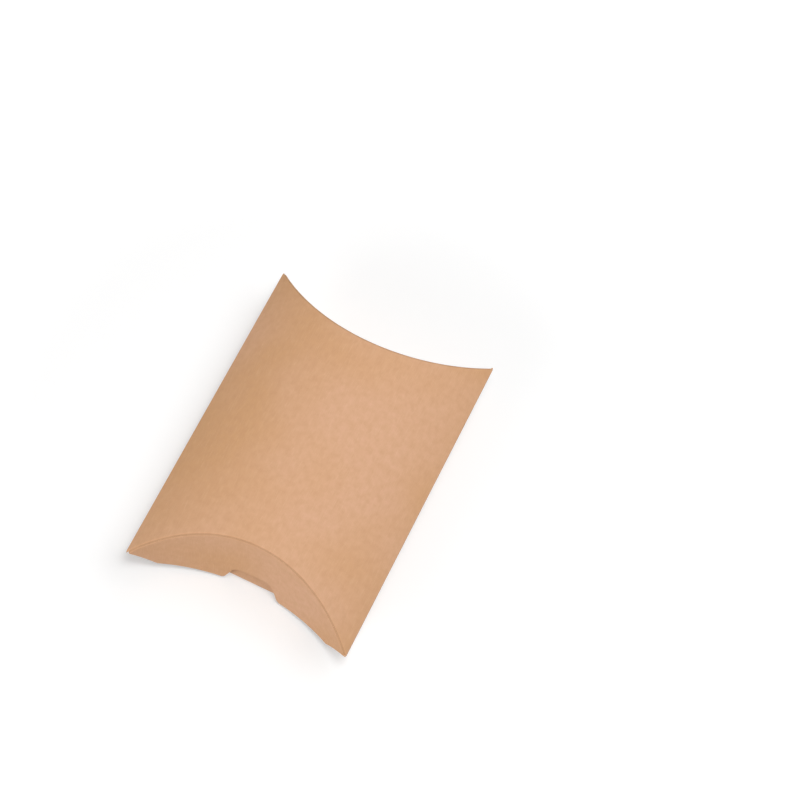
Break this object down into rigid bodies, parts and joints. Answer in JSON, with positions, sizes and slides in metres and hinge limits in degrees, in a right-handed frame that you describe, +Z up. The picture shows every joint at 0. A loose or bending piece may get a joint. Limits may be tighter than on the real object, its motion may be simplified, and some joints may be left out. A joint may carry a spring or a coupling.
{
  "type": "pillow box",
  "caption": "Kraft board pillow box with two bowed panels, a glued side seam, and folding end flaps with thumb notches.",
  "frame": {"origin": "middle of the box on the surface that it rests on", "axes": "+Y along the box from the front end to the rear end, +X across it towards the fold side, +Z up"},
  "size_m": [0.0644, 0.0926, 0.0231],
  "materials": {
    "kraft_board": "matt uncoated brown kraft",
    "dried_glue": "clear dried carton glue"
  },
  "bodies": {
    "carton": {"top_panel": "kraft_board", "bottom_panel": "kraft_board", "fold_side_crease": "kraft_board", "seam_side_crease": "kraft_board", "glue_flap": "kraft_board", "glue_line": "dried_glue", "front_inner_crease": "kraft_board", "rear_inner_crease": "kraft_board"},
    "front_outer": {"front_outer_flap": "kraft_board", "front_outer_crease": "kraft_board"},
    "front_inner": {"front_inner_flap": "kraft_board"},
    "rear_outer": {"rear_outer_flap": "kraft_board", "rear_outer_crease": "kraft_board"},
    "rear_inner": {"rear_inner_flap": "kraft_board"}
  },
  "joints": [
    {"name": "front_outer_fold", "type": "hinge", "parent": "carton", "child": "front_outer", "pos_m": [0, -0.03295, 0.02285], "axis": [-1, 0, 0], "range_deg": [0, 80]},
    {"name": "front_inner_fold", "type": "hinge", "parent": "carton", "child": "front_inner", "pos_m": [0, -0.03518, 0.00025], "axis": [-1, 0, 0], "range_deg": [0, 12]},
    {"name": "rear_outer_fold", "type": "hinge", "parent": "carton", "child": "rear_outer", "pos_m": [0, 0.03295, 0.02285], "axis": [1, 0, 0], "range_deg": [0, 80]},
    {"name": "rear_inner_fold", "type": "hinge", "parent": "carton", "child": "rear_inner", "pos_m": [0, 0.03518, 0.00025], "axis": [1, 0, 0], "range_deg": [0, 12]}
  ]
}
